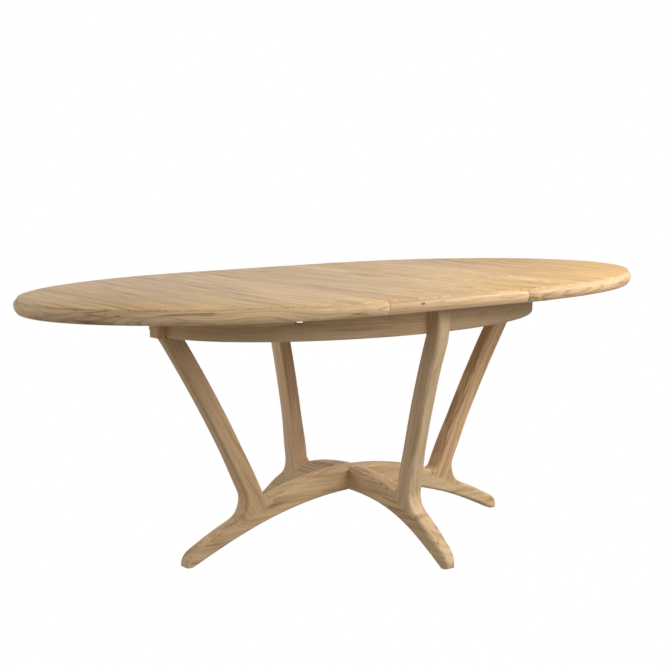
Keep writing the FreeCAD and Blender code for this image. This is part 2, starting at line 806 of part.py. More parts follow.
def build_base():
    """Foot beams, legs and their hardware; returns the bolts' holes."""
    groups = {}
    long_beam = build_side(long_side(), "x", "right", "left", groups)
    cross_beam = build_side(cross_side(), "y", "back", "front", groups)
    middle = (arch_height + crown_height) / 2.0
    bore = crossing_bore()
    add("long_foot_beam", long_beam.cut(crossing_lap(0, middle)).cut(bore))
    add("cross_foot_beam", cross_beam.cut(crossing_lap(middle, top_height)).cut(bore))
    add("crossing_bolt", crossing_bolt())
    holes = groups.pop("holes")
    for name, shapes in groups.items():
        add(name, Part.makeCompound(shapes))
    return holes


def build_frame(holes):
    """Apron, guide rails and bearers."""
    for front, back in (("right_front", "right_back"), ("left_front", "left_back")):
        quarter = apron_quarter()
        if front == "left_front":
            quarter = mirrored(quarter, "x")
        for hole in holes:
            quarter = quarter.cut(hole)
        add("apron_" + front, quarter)
        add("apron_" + back, mirrored(quarter, "y"))
    for name, shape in (("guide_rail", guide_rail()), ("guide_tongue", guide_tongue())):
        add(name + "_front", shape)
        add(name + "_back", mirrored(shape, "y"))
    add("cross_bearer_right", cross_bearer())
    add("cross_bearer_left", mirrored(cross_bearer(), "x"))
    add("bearer_glue_blocks", bearer_glue_blocks())


def build_half_tops():
    screws = half_top_screws()
    pieces = {"top_panel": half_panel(), "runner_front": runner(), "draw_stop": draw_stop()}
    pieces["runner_back"] = mirrored(pieces["runner_front"], "y")
    pieces["half_batten"] = batten(leaf_half + half_batten_inset)
    for name, shape in pieces.items():
        pieces[name] = cut_screws(shape, screws)
    pieces["edge_nosing"] = half_nosing()
    pieces["screws"] = Part.makeCompound(screws)
    for name, shape in pieces.items():
        add("right_" + name, shape)
        add("left_" + name, mirrored(shape, "x"))


def build_leaf():
    middle = leaf_half - leaf_batten_inset
    screws = batten_screws(middle) + batten_screws(-middle)
    add("leaf_panel", cut_screws(leaf_panel(), screws))
    add("leaf_nosing_front", leaf_nosing())
    add("leaf_nosing_back", mirrored(leaf_nosing(), "y"))
    add("leaf_batten_right", cut_screws(batten(middle), screws))
    add("leaf_batten_left", cut_screws(batten(-middle), screws))
    add("leaf_pegs", leaf_pegs())
    add("leaf_screws", Part.makeCompound(screws))


def main():
    holes = build_base()
    build_frame(holes)
    build_half_tops()
    build_leaf()
    os.makedirs("parts", exist_ok=True)
    for name, shape in parts.items():
        shape.exportStep("parts/" + name + ".step")


main()
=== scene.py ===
"""Looks of the extending oval dining table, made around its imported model.

Metres, +Z up. The model's pieces stay where they are. The file is laid out as
an add-on: sizes and colours are properties, and each group of pieces has its
operator in the sidebar panel.
"""

import json
import math

import bmesh
import bpy
from mathutils import Matrix, Vector

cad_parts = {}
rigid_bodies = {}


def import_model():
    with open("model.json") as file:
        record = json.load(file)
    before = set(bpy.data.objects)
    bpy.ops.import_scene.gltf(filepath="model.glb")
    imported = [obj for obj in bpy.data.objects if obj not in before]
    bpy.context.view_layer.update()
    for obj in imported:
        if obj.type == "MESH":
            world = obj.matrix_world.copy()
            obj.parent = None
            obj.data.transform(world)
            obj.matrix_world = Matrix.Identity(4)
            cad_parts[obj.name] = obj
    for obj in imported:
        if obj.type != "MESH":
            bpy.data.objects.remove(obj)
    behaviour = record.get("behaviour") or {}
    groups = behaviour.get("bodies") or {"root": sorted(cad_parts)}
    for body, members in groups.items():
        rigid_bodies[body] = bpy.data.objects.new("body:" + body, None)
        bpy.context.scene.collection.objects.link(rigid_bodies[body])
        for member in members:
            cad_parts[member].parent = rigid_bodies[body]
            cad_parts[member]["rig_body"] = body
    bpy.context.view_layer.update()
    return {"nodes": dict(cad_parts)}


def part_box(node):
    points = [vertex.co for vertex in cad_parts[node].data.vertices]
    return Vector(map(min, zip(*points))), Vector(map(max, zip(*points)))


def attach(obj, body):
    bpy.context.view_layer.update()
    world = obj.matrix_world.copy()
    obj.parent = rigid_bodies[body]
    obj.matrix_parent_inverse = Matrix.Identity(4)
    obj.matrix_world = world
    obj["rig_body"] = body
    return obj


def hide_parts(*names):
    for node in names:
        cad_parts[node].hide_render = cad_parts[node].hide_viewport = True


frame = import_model()

bl_info = {
    "name": "Oval Extending Table",
    "version": (1, 1, 0),
    "blender": (4, 5, 0),
    "location": "3D View > Sidebar > Table",
    "description": "Dresses the oval extending table in pale oak",
    "category": "Object",
}

# ---------------------------------------------------------------- the frame
NODES = frame["nodes"]
LEAF_LOW, LEAF_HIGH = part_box("leaf_panel")
PANEL_LOW, PANEL_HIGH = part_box("right_top_panel")
EDGE_LOW, EDGE_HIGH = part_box("right_edge_nosing")
APRON_LOW, APRON_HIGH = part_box("apron_right_back")
TOP_HEIGHT = LEAF_HIGH.z
HALF_LEAF = LEAF_HIGH.x
SEAM = PANEL_LOW.x
EDGE_WIDTH = EDGE_HIGH.y - PANEL_HIGH.y
EDGE_DEPTH = TOP_HEIGHT - EDGE_LOW.z
PANEL_DEPTH = TOP_HEIGHT - PANEL_LOW.z

# how finely round forms are divided
OVAL_STEPS = 120
ROUND_STEPS = 24
PROFILE_STEPS = 8
UPPER_SPACING = 1.6             # power that spaces the moulding's points above its
LOWER_SPACING = 0.7             # widest line, and below it

# points nearer than this are one, an edge that turns more than the sharp angle
# stays sharp, and faces that turn less than the flat angle are merged
WELD = 0.00001
SHARP_ANGLE = math.radians(32.0)
FLAT_ANGLE = math.radians(0.5)
LONG_EDGE = 5.0                 # only edges longer than this many easings are eased

# proportions of bolts and washers
BOLT_HEAD_SHARE = 0.4           # height of a bolt's head to its width
SHANK_SHARE = 0.46              # radius of a bolt's shank to its head's
WASHER_HOLE_SHARE = 0.37        # radius of a washer's hole to its outer one

# the camera: where it stands, how it is turned, and its lens
CAMERA_PLACE = Vector((-2.7124, -3.45217, 1.19065))
CAMERA_YAW = 0.916685
CAMERA_PITCH = -0.134356
CAMERA_ROLL = 0.003317
PICTURE_SIDE = 665.0
FOCAL_PIXELS = 1538.894
SENSOR_WIDTH = 36.0
CAMERA_REACH = 100.0

# the studio: each lamp's place, the side of its square and its power in watts,
# the point that they all face, and how strongly room and floor light the table
LAMPS = {
    "right_front": ((0.690, -3.047, 1.8), 1.5, 41.5),
    "right_near": ((1.509, -1.155, 1.7), 0.8, 27.3),
    "right_low": ((3.0, -0.8, 1.4), 1.2, 8.4),
    "front_high": ((-1.581, -2.064, 2.6), 1.8, 19.6),
    "left_back": ((-2.6, 2.2, 1.3), 1.5, 28.1),
    "left_high": ((-2.382, 1.824, 2.2), 1.8, 6.9),
    "back_high": ((1.824, 2.382, 2.4), 1.8, 26.6),
    "back": ((0.5, 3.2, 1.7), 1.5, 12.0),
}
LIGHT_AIM = Vector((0.0, 0.0, 0.5))
ROOM_GLOW = 0.12
FLOOR_GLOW = 0.32

# noise in the finishes: stretch of the three coordinates, detail, roughness. In the
# oak they run along, across and up the grain, but for the bands, which are read
# outwards from the pith; the wear of metal and plastic follows the object's own
BEND_NOISE = ((1.5, 6.0, 6.0), 2.0, 0.5)
FINE_NOISE = ((12.0, 120.0, 120.0), 3.0, 0.55)
WANDER_NOISE = ((2.6, 9.0, 9.0), 2.0, 0.5)
BAND_NOISE = ((1.0, 1.0, 1.0), 3.0, 0.65)
STREAK_NOISE = ((1.5, 42.0, 42.0), 3.0, 0.6)
FLECK_NOISE = ((4.5, 90.0, 90.0), 3.0, 0.6)
PORE_NOISE = ((70.0, 1900.0, 1900.0), 1.0, 0.5)
CLOUD_NOISE = ((2.5, 8.0, 8.0), 2.0, 0.5)
FIGURE_NOISE = ((2.2, 12.0, 12.0), 2.0, 0.5)
WEAR_NOISE = ((220.0, 220.0, 220.0), 3.0, 0.6)

# how noise and age become marks: low and high value read, low and high value given
BAND_MARK = (0.42, 0.60, 0.0, 1.0)
STREAK_MARK = (0.50, 0.66, 0.0, 1.0)
FLECK_MARK = (0.57, 0.66, 0.0, 1.0)
PORE_MARK = (0.56, 0.70, 0.0, 1.0)
FIGURE_MARK = (0.40, 0.60, 0.40, 1.25)
CLOUD_SHADE = (0.2, 0.8, 0.93, 1.07)
WEAR_TINT = (0.35, 0.75, 0.0, 0.35)
RING_FADE = (0.0, 0.34, 1.0, 0.0)
RING_START = (0.86, 1.0, 0.0, 0.8)

# a piece that isn't made of boards takes its random numbers from a seed, and the
# pieces of a group count on from the group's
LONG_BEAM_SEED = 3.0
CROSS_BEAM_SEED = 5.0
LEG_SEED = 11.0
APRON_SEED = 21.0
HALF_EDGE_SEED = 31.0
LEAF_EDGE_SEED = 41.0
LENGTHWISE_SEED = 51.0
CROSSWISE_SEED = 71.0
PEG_SEED = 91.0

# the knot in the leaf's front edge: its place, how it fades from its core to its
# rim, and how much its distance counts along each axis
KNOT = (-0.136, -EDGE_HIGH.y, TOP_HEIGHT - 0.015)
KNOT_FADE = (0.0018, 0.0042, 0.9, 0.0)
KNOT_STRETCH = (0.40, 1.0, 1.0)

# the oak's other measures
PIECE_SHIFT = (3.1, 1.7, 2.3)       # metres that a piece's random numbers move its figure
WANDER_REACH = (0.0, 0.03, 0.03)    # metres that the grain strays
FINE_REACH = 0.004                  # metres that the ring lines waver
BANDS_PER_METRE = 60.0
BAND_SHIFT = 40.0
BOARD_UNEVENNESS = 0.45
STREAK_STRENGTH = 0.50
PORE_STRENGTH = 0.40
PORES_OFF_RING = 0.25               # strength of pores off a ring line, to those on it
LINE_STRENGTH = (0.35, 0.85)        # of the ring lines, out of a band and in it
DEPTH_SPREAD = (0.75, 1.35)         # of the pith's depth, from piece to piece
VIVIDNESS_SPREAD = (0.96, 1.04)
TONE_SPREAD = (0.95, 1.05)
HUE_SPREAD = 0.006
OAK_ROUGHNESS = 0.56
HIDDEN_ROUGHNESS = 0.6              # of the under-frame's wood
PORE_ROUGHNESS = 0.2                # added in the pores
OAK_IOR = 1.45
OAK_SPECULAR = 0.35
BUMP_STRENGTH = 0.5
BUMP_DEPTH = 0.0003
RING_HOLLOW = -0.35
PORE_HOLLOW = -0.9

# metal and plastic
STEEL_ROUGHNESS = 0.32
GLIDE_ROUGHNESS = 0.5
WEAR_ROUGHNESS = 0.18               # added where it is worn
WEAR_LOW = 0.3
WEAR_HIGH = 0.8
WORN_SHADE = 0.72


# --------------------------------------------------------------- properties
class TableColours(bpy.types.PropertyGroup):
    """Colours of the finishes"""

    pale_oak: bpy.props.FloatVectorProperty(
        name="Pale oak", description="Wood between the ring lines", subtype="COLOR",
        size=3, min=0.0, max=1.0, default=(0.79, 0.545, 0.295))
    warm_oak: bpy.props.FloatVectorProperty(
        name="Warm oak", description="Ring lines, bands and streaks", subtype="COLOR",
        size=3, min=0.0, max=1.0, default=(0.52, 0.312, 0.140))
    dark_grain: bpy.props.FloatVectorProperty(
        name="Dark grain", description="Open pores, dark flecks and the knot", subtype="COLOR",
        size=3, min=0.0, max=1.0, default=(0.22, 0.115, 0.045))
    steel: bpy.props.FloatVectorProperty(
        name="Zinc steel", description="Screws, bolts, washers and inserts", subtype="COLOR",
        size=3, min=0.0, max=1.0, default=(0.55, 0.55, 0.56))
    glide: bpy.props.FloatVectorProperty(
        name="Glide plastic", description="Round glides under the feet", subtype="COLOR",
        size=3, min=0.0, max=1.0, default=(0.25, 0.17, 0.10))


class TableSizes(bpy.types.PropertyGroup):
    """Sizes of the edges, of the figure in the wood and of the studio"""

    edge_step: bpy.props.FloatProperty(
        name="Edge step", description="Drop from the boards' face to the moulded edge",
        default=0.0042, min=0.0, unit="LENGTH")
    edge_quirk: bpy.props.FloatProperty(
        name="Edge quirk", description="Small groove between the boards and the moulded edge",
        default=0.0007, min=0.0, unit="LENGTH")
    edge_widest: bpy.props.FloatProperty(
        name="Widest line", description="Depth at which the moulded edge is widest",
        default=0.017, min=0.005, unit="LENGTH")
    edge_lap: bpy.props.FloatProperty(
        name="Edge lap", description="How far the moulded edge reaches in under the boards",
        default=0.036, min=0.01, unit="LENGTH")
    edge_roundness: bpy.props.FloatProperty(
        name="Edge roundness", description="Exponent of the moulded edge's bulge",
        default=2.4, min=1.0)
    seam_ease: bpy.props.FloatProperty(
        name="Seam easing", description="Chamfer along the seams between leaf and half tops",
        default=0.0011, min=0.0, unit="LENGTH")
    seam_gap: bpy.props.FloatProperty(
        name="Seam gap", description="Set-back of each face at a seam",
        default=0.0003, min=0.0, unit="LENGTH")
    frame_ease: bpy.props.FloatProperty(
        name="Frame easing", description="Rounding of the under-frame's edges",
        default=0.0015, min=0.0, unit="LENGTH")
    board_width: bpy.props.FloatProperty(
        name="Board width", description="Mean width of the boards in the top",
        default=0.105, min=0.03, unit="LENGTH")
    ring_spacing: bpy.props.FloatProperty(
        name="Ring spacing", description="Distance between growth rings",
        default=0.006, min=0.001, unit="LENGTH")
    floor_side: bpy.props.FloatProperty(
        name="Floor", description="Side of the studio floor", default=40.0, min=5.0,
        unit="LENGTH")


def rgba(colour):
    return (colour[0], colour[1], colour[2], 1.0)


def sizes():
    return bpy.context.scene.table_sizes


def colours():
    return bpy.context.scene.table_colours


# ------------------------------------------------------------- node helpers
class Nodes:
    """Short way to lay out a material's nodes"""

    def __init__(self, owner):
        owner.use_nodes = True
        self.tree = owner.node_tree
        self.tree.nodes.clear()

    def add(self, kind, **settings):
        node = self.tree.nodes.new("ShaderNode" + kind)
        for name, value in settings.items():
            setattr(node, name, value)
        return node

    def feed(self, socket, value):
        if isinstance(value, bpy.types.NodeSocket):
            self.tree.links.new(value, socket)
        else:
            socket.default_value = value

    def math(self, operation, first, second=0.0):
        node = self.add("Math", operation=operation)
        self.feed(node.inputs[0], first)
        self.feed(node.inputs[1], second)
        return node.outputs[0]

    def times(self, first, second):
        return self.math("MULTIPLY", first, second)

    def plus(self, first, second):
        return self.math("ADD", first, second)

    def centred(self, value, width):
        """A 0 to 1 value spread evenly about zero."""
        return self.times(self.math("SUBTRACT", value, 0.5), width)

    def vector(self, operation, first, second=(0.0, 0.0, 0.0)):
        node = self.add("VectorMath", operation=operation)
        self.feed(node.inputs[0], first)
        if operation != "LENGTH":
            self.feed(node.inputs[1], second)
        scalar = operation in ("LENGTH", "DOT_PRODUCT")
        return node.outputs["Value" if scalar else "Vector"]

    def split(self, vector):
        node = self.add("SeparateXYZ")
        self.feed(node.inputs[0], vector)
        return node.outputs

    def combine(self, x, y, z):
        node = self.add("CombineXYZ")
        for socket, value in zip(node.inputs, (x, y, z)):
            self.feed(socket, value)
        return node.outputs[0]

    def noise(self, vector, stretch, detail, roughness, color=False):
        node = self.add("TexNoise")
        self.feed(node.inputs["Vector"], self.vector("MULTIPLY", vector, stretch))
        node.inputs["Scale"].default_value = 1.0
        node.inputs["Detail"].default_value = detail
        node.inputs["Roughness"].default_value = roughness
        return node.outputs["Color" if color else "Fac"]

    def spread(self, value, low, high, to_low=0.0, to_high=1.0, smooth=True):
        kind = "SMOOTHSTEP" if smooth else "LINEAR"
        node = self.add("MapRange", interpolation_type=kind)
        for socket, item in zip(node.inputs, (value, low, high, to_low, to_high)):
            self.feed(socket, item)
        return node.outputs[0]

    def steady(self, value, to_low, to_high):
        """A 0 to 1 value carried over in a straight line."""
        return self.spread(value, 0.0, 1.0, to_low, to_high, smooth=False)

    def mix(self, share, first, second):
        """Blend two colours; the node's colour sockets come after its others."""
        node = self.add("Mix", data_type="RGBA")
        self.feed(node.inputs[0], share)
        self.feed(node.inputs[6], first)
        self.feed(node.inputs[7], second)
        return node.outputs[2]


# ------------------------------------------------------------------ the oak
def fixed_random(n, seed):
    """The same three random numbers all over one piece."""
    noise = n.add("TexWhiteNoise", noise_dimensions="1D")
    noise.inputs["W"].default_value = seed
    return n.split(noise.outputs["Color"])


def boards(n, place):
    """Boards side by side along X with their grain along Y.

    Grain coordinates run along the grain, across the board and up from the
    top's face; a board has its own three random numbers.
    """
    x, y, z = n.split(place)
    width = sizes().board_width
    cells = n.add("TexVoronoi", voronoi_dimensions="1D", feature="F1")
    n.feed(cells.inputs["W"], n.math("DIVIDE", x, width))
    cells.inputs["Scale"].default_value = 1.0
    cells.inputs["Randomness"].default_value = BOARD_UNEVENNESS
    random = n.split(cells.outputs["Color"])
    across = n.math("SUBTRACT", x, n.times(cells.outputs["W"], width))
    return n.combine(y, across, n.math("SUBTRACT", z, TOP_HEIGHT)), random


def straight_grain(direction, seed, middle=(0.0, 0.0, 0.0)):
    """Grain coordinates of a piece sawn along one direction."""
    along = Vector(direction).normalized()
    side = along.cross(Vector((0, 0, 1)))
    upright = side.length < 0.1
    side = Vector((0, 1, 0)) if upright else side.normalized()
    up = side.cross(along)

    def coordinates(n, place):
        moved = n.vector("SUBTRACT", place, tuple(middle))
        parts = [n.vector("DOT_PRODUCT", moved, tuple(axis)) for axis in (along, side, up)]
        return n.combine(*parts), fixed_random(n, seed)

    return coordinates


def oval_grain(reach, half_width, middle_height, seed):
    """Grain that follows an ellipse about the centre, for bent pieces."""
    mean = (reach + half_width) / 2.0

    def coordinates(n, place):
        x, y, z = n.split(place)
        x = n.math("DIVIDE", x, reach)
        y = n.math("DIVIDE", y, half_width)
        along = n.times(n.math("ARCTAN2", y, x), mean)
        out = n.times(n.math("SUBTRACT", n.vector("LENGTH", n.combine(x, y, 0.0)), 1.0), mean)
        return n.combine(along, n.math("SUBTRACT", z, middle_height), out), fixed_random(n, seed)

    return coordinates


# where the pith lies: depth below the face, shift to the side, and how much
# both change from board to board and along a board; then the width of the
# rings and the strength of broad bands and dark flecks
BOARD_LOG = {"depth": 0.085, "aside": 0.045, "spread": 0.09, "tilt": 0.16, "sway": 0.05,
             "rings": 1.0, "bands": 0.40, "flecks": 0.42}
EDGE_LOG = {"depth": 0.070, "aside": 0.030, "spread": 0.05, "tilt": 0.10, "sway": 0.13,
            "rings": 1.0, "bands": 0.40, "flecks": 0.50}
STICK_LOG = {"depth": 0.060, "aside": 0.030, "spread": 0.05, "tilt": 0.06, "sway": 0.03,
             "rings": 0.6, "bands": 0.22, "flecks": 0.25}
HEART_LOG = {"depth": 0.025, "aside": 0.010, "spread": 0.02, "tilt": 0.06, "sway": 0.09,
             "rings": 0.8, "bands": 0.40, "flecks": 0.35}


def log_radius(n, grain, shifted, random, log):
    """Distance from the log's pith, which runs along the grain below the face."""
    u, v, w = n.split(grain)
    bend = n.split(n.noise(shifted, *BEND_NOISE, color=True))
    side = n.plus(v, n.plus(n.centred(random[1], log["spread"]), -log["aside"]))
    side = n.plus(side, n.centred(bend[0], log["sway"]))
    depth = n.steady(random[2], *(share * log["depth"] for share in DEPTH_SPREAD))
    deep = n.plus(n.plus(w, depth), n.times(u, n.centred(random[0], log["tilt"])))
    deep = n.plus(deep, n.centred(bend[1], log["sway"]))
    fine = n.noise(shifted, *FINE_NOISE)
    return n.plus(n.vector("LENGTH", n.combine(0.0, side, deep)), n.centred(fine, FINE_REACH))


def stray(n, grain, random):
    """Grain coordinates moved apart from piece to piece, with a wander across."""
    moves = [n.times(number, reach) for number, reach in zip(random, PIECE_SHIFT)]
    shifted = n.vector("ADD", grain, n.combine(*moves))
    wander = n.vector("SUBTRACT", n.noise(shifted, *WANDER_NOISE, color=True), (0.5, 0.5, 0.5))
    return n.vector("ADD", shifted, n.vector("MULTIPLY", wander, WANDER_REACH))


def oak_surface(name, coordinates, log=STICK_LOG, tone=1.0, vividness=1.0, contrast=1.0,
                roughness=OAK_ROUGHNESS, knot=None):
    """Wood from grain coordinates: rings, streaks, pores and tone, in the oak's colours."""
    material = bpy.data.materials.new(name)
    n = Nodes(material)
    place = n.add("TexCoord").outputs["Object"]
    grain, random = coordinates(n, place)
    shifted = stray(n, grain, random)

    radius = log_radius(n, grain, shifted, random, log)
    age = n.math("FRACT", n.math("DIVIDE", radius, sizes().ring_spacing * log["rings"]))
    ring = n.math("MAXIMUM", n.spread(age, *RING_FADE), n.spread(age, *RING_START))
    years = n.plus(n.times(radius, BANDS_PER_METRE), n.times(random[0], BAND_SHIFT))
    band = n.spread(n.noise(n.combine(years, 0.0, 0.0), *BAND_NOISE), *BAND_MARK)
    streak = n.spread(n.noise(shifted, *STREAK_NOISE), *STREAK_MARK)
    fleck = n.spread(n.noise(shifted, *FLECK_NOISE), *FLECK_MARK)
    pore = n.spread(n.noise(shifted, *PORE_NOISE), *PORE_MARK)
    pore = n.times(pore, n.steady(ring, PORES_OFF_RING, 1.0))
    cloud = n.noise(shifted, *CLOUD_NOISE)
    figure = n.spread(n.noise(shifted, *FIGURE_NOISE), *FIGURE_MARK)
    line = n.times(ring, n.steady(band, *(share * contrast for share in LINE_STRENGTH)))

    pale, warm, dark = (rgba(colour) for colour in
                        (colours().pale_oak, colours().warm_oak, colours().dark_grain))
    base = n.mix(n.times(line, figure), pale, warm)
    base = n.mix(n.times(band, log["bands"] * contrast), base, warm)
    base = n.mix(n.times(n.times(streak, figure), STREAK_STRENGTH * contrast), base, warm)
    base = n.mix(n.times(n.times(fleck, figure), log["flecks"] * contrast), base, dark)
    base = n.mix(n.times(pore, PORE_STRENGTH * contrast), base, dark)
    if knot:
        base = n.mix(knot_share(n, place, knot), base, dark)

    hue = n.add("HueSaturation")
    n.feed(hue.inputs["Color"], base)
    n.feed(hue.inputs["Hue"], n.plus(0.5, n.centred(random[2], HUE_SPREAD)))
    vivid = n.steady(random[0], *(share * vividness for share in VIVIDNESS_SPREAD))
    n.feed(hue.inputs["Saturation"], vivid)
    shade = n.steady(random[1], *(share * tone for share in TONE_SPREAD))
    n.feed(hue.inputs["Value"], n.times(shade, n.spread(cloud, *CLOUD_SHADE)))

    shader = n.add("BsdfPrincipled")
    n.feed(shader.inputs["Base Color"], hue.outputs["Color"])
    n.feed(shader.inputs["Roughness"], n.steady(pore, roughness, roughness + PORE_ROUGHNESS))
    shader.inputs["IOR"].default_value = OAK_IOR
    shader.inputs["Specular IOR Level"].default_value = OAK_SPECULAR
    bump = n.add("Bump")
    bump.inputs["Strength"].default_value = BUMP_STRENGTH
    bump.inputs["Distance"].default_value = BUMP_DEPTH
    n.feed(bump.inputs["Height"], n.plus(n.times(ring, RING_HOLLOW), n.times(pore, PORE_HOLLOW)))
    n.feed(shader.inputs["Normal"], bump.outputs["Normal"])
    n.feed(n.add("OutputMaterial").inputs["Surface"], shader.outputs["BSDF"])
    return material


def knot_share(n, place, knot):
    """Small dark knot about a point, longer along X than across."""
    near = n.vector("MULTIPLY", n.vector("SUBTRACT", place, tuple(knot)), KNOT_STRETCH)
    return n.spread(n.vector("LENGTH", near), *KNOT_FADE)


def plain_surface(name, colour, metallic, roughness):
    """Metal or plastic with a little wear in its colour and roughness."""
    material = bpy.data.materials.new(name)
    n = Nodes(material)
    place = n.add("TexCoord").outputs["Object"]
    wear = n.noise(place, *WEAR_NOISE)
    shader = n.add("BsdfPrincipled")
    worn = [part * WORN_SHADE for part in colour]
    tint = n.mix(n.spread(wear, *WEAR_TINT), rgba(colour), rgba(worn))
    n.feed(shader.inputs["Base Color"], tint)
    shader.inputs["Metallic"].default_value = metallic
    n.feed(shader.inputs["Roughness"],
           n.spread(wear, WEAR_LOW, WEAR_HIGH, roughness, roughness + WEAR_ROUGHNESS))
    n.feed(n.add("OutputMaterial").inputs["Surface"], shader.outputs["BSDF"])
    return material


# ----------------------------------------------------------- making pieces
def dress(node, material):
    """Give a node's object one material on all its faces."""
    mesh = NODES[node].data
    mesh.materials.clear()
    mesh.materials.append(material)


def finish_piece(name, shape, node, material):
    """Turn a shape into a piece that stands for a node and rides with it."""
    bmesh.ops.remove_doubles(shape, verts=shape.verts, dist=WELD)
    bmesh.ops.recalc_face_normals(shape, faces=shape.faces)
    for face in shape.faces:
        face.smooth = True
    for edge in shape.edges:
        edge.smooth = edge.calc_face_angle(math.pi) < SHARP_ANGLE
    mesh = bpy.data.meshes.new(name)
    shape.to_mesh(mesh)
    shape.free()
    mesh.materials.append(material)
    piece = bpy.data.objects.new(name, mesh)
    bpy.context.scene.collection.objects.link(piece)
    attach(piece, NODES[node]["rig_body"])
    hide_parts(node)


def edges_where(shape, test):
    """Edges of a shape with both ends passing a test."""
    return [edge for edge in shape.edges if all(test(vert.co) for vert in edge.verts)]


def pull_out(shape, way):
    """Turn a shape's flat faces into a solid by pulling a copy of them away."""
    pulled = bmesh.ops.extrude_face_region(shape, geom=shape.faces[:])["geom"]
    bmesh.ops.translate(shape, vec=way,
                        verts=[item for item in pulled if isinstance(item, bmesh.types.BMVert)])


def round_edges(shape, edges, width, segments=2):
    bmesh.ops.bevel(shape, geom=edges, offset=width, segments=segments, profile=0.5,
                    affect="EDGES", material=-1)


def flip_to(shape, side):
    """Turn a shape made for the right side into its mirror image."""
    if side == "left":
        bmesh.ops.scale(shape, vec=(-1.0, 1.0, 1.0), verts=shape.verts)


def node_shape(node):
    """A node's solid as one merged shape with flat faces made whole."""
    shape = bmesh.new()
    shape.from_mesh(NODES[node].data)
    bmesh.ops.remove_doubles(shape, verts=shape.verts, dist=WELD)
    bmesh.ops.dissolve_limit(shape, angle_limit=FLAT_ANGLE, verts=shape.verts, edges=shape.edges)
    return shape


def eased_copy(node, material):
    """Stand a copy of the node's form, its long sharp edges rounded, in its place."""
    shape = node_shape(node)
    width = sizes().frame_ease
    long_edges = [edge for edge in shape.edges if edge.calc_length() > LONG_EDGE * width
                  and edge.calc_face_angle(0.0) > SHARP_ANGLE]
    round_edges(shape, long_edges, width)
    finish_piece(node + "_eased", shape, node, material)


def islands(node):
    """Lowest and highest corner of each separate solid of a node, in order."""
    shape = node_shape(node)
    waiting = set(shape.verts)
    boxes = []
    while waiting:
        group = [waiting.pop()]
        for vert in group:
            for edge in vert.link_edges:
                other = edge.other_vert(vert)
                if other in waiting:
                    waiting.remove(other)
                    group.append(other)
        low = Vector([min(vert.co[i] for vert in group) for i in range(3)])
        high = Vector([max(vert.co[i] for vert in group) for i in range(3)])
        boxes.append((low, high))
    shape.free()
    return sorted(boxes, key=lambda item: tuple(round(value, 5) for value in item[0]))


# -------------------------------------------------------------- small parts
def lathe(shape, outline, closed=False):
    """Turn an outline of radii and heights about the Z axis."""
    verts = [shape.verts.new((radius, 0.0, height)) for radius, height in outline]
    pairs = list(zip(verts, verts[1:])) + ([(verts[-1], verts[0])] if closed else [])
    edges = [shape.edges.new(pair) for pair in pairs]
    bmesh.ops.spin(shape, geom=verts + edges, cent=(0, 0, 0), axis=(0, 0, 1), dvec=(0, 0, 0),
                   angle=2.0 * math.pi, steps=ROUND_STEPS, use_merge=True, use_duplicate=False)


def sink(shape, radius, corners, depth):
    """Close the round opening at height zero with a face that has a recess."""
    rim = edges_where(shape, lambda place: abs(place.z) < WELD and place.length > radius - WELD)
    verts = [shape.verts.new((x, y, 0.0)) for x, y in corners]
    loop = [shape.edges.new(pair) for pair in zip(verts, verts[1:] + verts[:1])]
    bmesh.ops.bridge_loops(shape, edges=rim + loop)
    sunk = bmesh.ops.extrude_edge_only(shape, edges=loop)["geom"]
    bottom = [item for item in sunk if isinstance(item, bmesh.types.BMVert)]
    bmesh.ops.translate(shape, vec=(0.0, 0.0, depth), verts=bottom)
    floor = [item for item in sunk if isinstance(item, bmesh.types.BMEdge)
             and all(vert in bottom for vert in item.verts)]
    bmesh.ops.contextual_create(shape, geom=floor)


def cross_corners(reach, half_arm):
    """Corners of an upright cross, all the way round."""
    corners = []
    for quarter in range(4):
        turn = Matrix.Rotation(quarter * math.pi / 2.0, 2)
        for point in ((reach, -half_arm), (reach, half_arm), (half_arm, half_arm)):
            corners.append(tuple(turn @ Vector(point)))
    return corners


def hexagon(radius):
    """Corners of a hexagon, all the way round."""
    turns = [math.radians(60 * i) for i in range(6)]
    return [(radius * math.cos(turn), radius * math.sin(turn)) for turn in turns]


def wood_screw(shape, length, width):
    """Countersunk screw with a cross recess, its head's face at height zero."""
    radius = width / 2.0
    lathe(shape, [(radius, 0.0), (radius, 0.06 * radius), (0.5 * radius, 0.6 * radius),
                  (0.5 * radius, length - radius), (0.0, length)])
    sink(shape, radius, cross_corners(0.55 * radius, 0.13 * radius), 0.45 * radius)


def hexagon_bolt(shape, length, width):
    """Bolt with a chamfered hexagon head, its head's face at height zero."""
    radius = width / 2.0
    height = BOLT_HEAD_SHARE * width
    bmesh.ops.create_circle(shape, cap_ends=True, segments=6, radius=radius)
    pull_out(shape, (0.0, 0.0, height))
    round_edges(shape, edges_where(shape, lambda place: abs(place.z) < WELD), 0.1 * radius, 1)
    shank = SHANK_SHARE * radius
    lathe(shape, [(0.0, height), (shank, height), (shank, length - 0.2 * shank),
                  (0.8 * shank, length), (0.0, length)])


def socket_bolt(shape, length, width):
    """Round-headed bolt with a hexagon socket, its head's face at height zero."""
    radius = width / 2.0
    height = BOLT_HEAD_SHARE * width
    shank = SHANK_SHARE * radius
    lathe(shape, [(0.9 * radius, 0.0), (radius, 0.1 * radius), (radius, height), (shank, height),
                  (shank, length), (0.0, length)])
    sink(shape, 0.9 * radius, hexagon(0.42 * radius), 0.6 * height)


def washer(shape, length, width):
    """Flat washer with broken edges."""
    outer = width / 2.0
    inner = WASHER_HOLE_SHARE * outer
    soft = 0.2 * length
    lower = [(inner, soft), (inner + soft, 0.0), (outer - soft, 0.0), (outer, soft)]
    upper = [(radius, length - height) for radius, height in reversed(lower)]
    lathe(shape, lower + upper, closed=True)


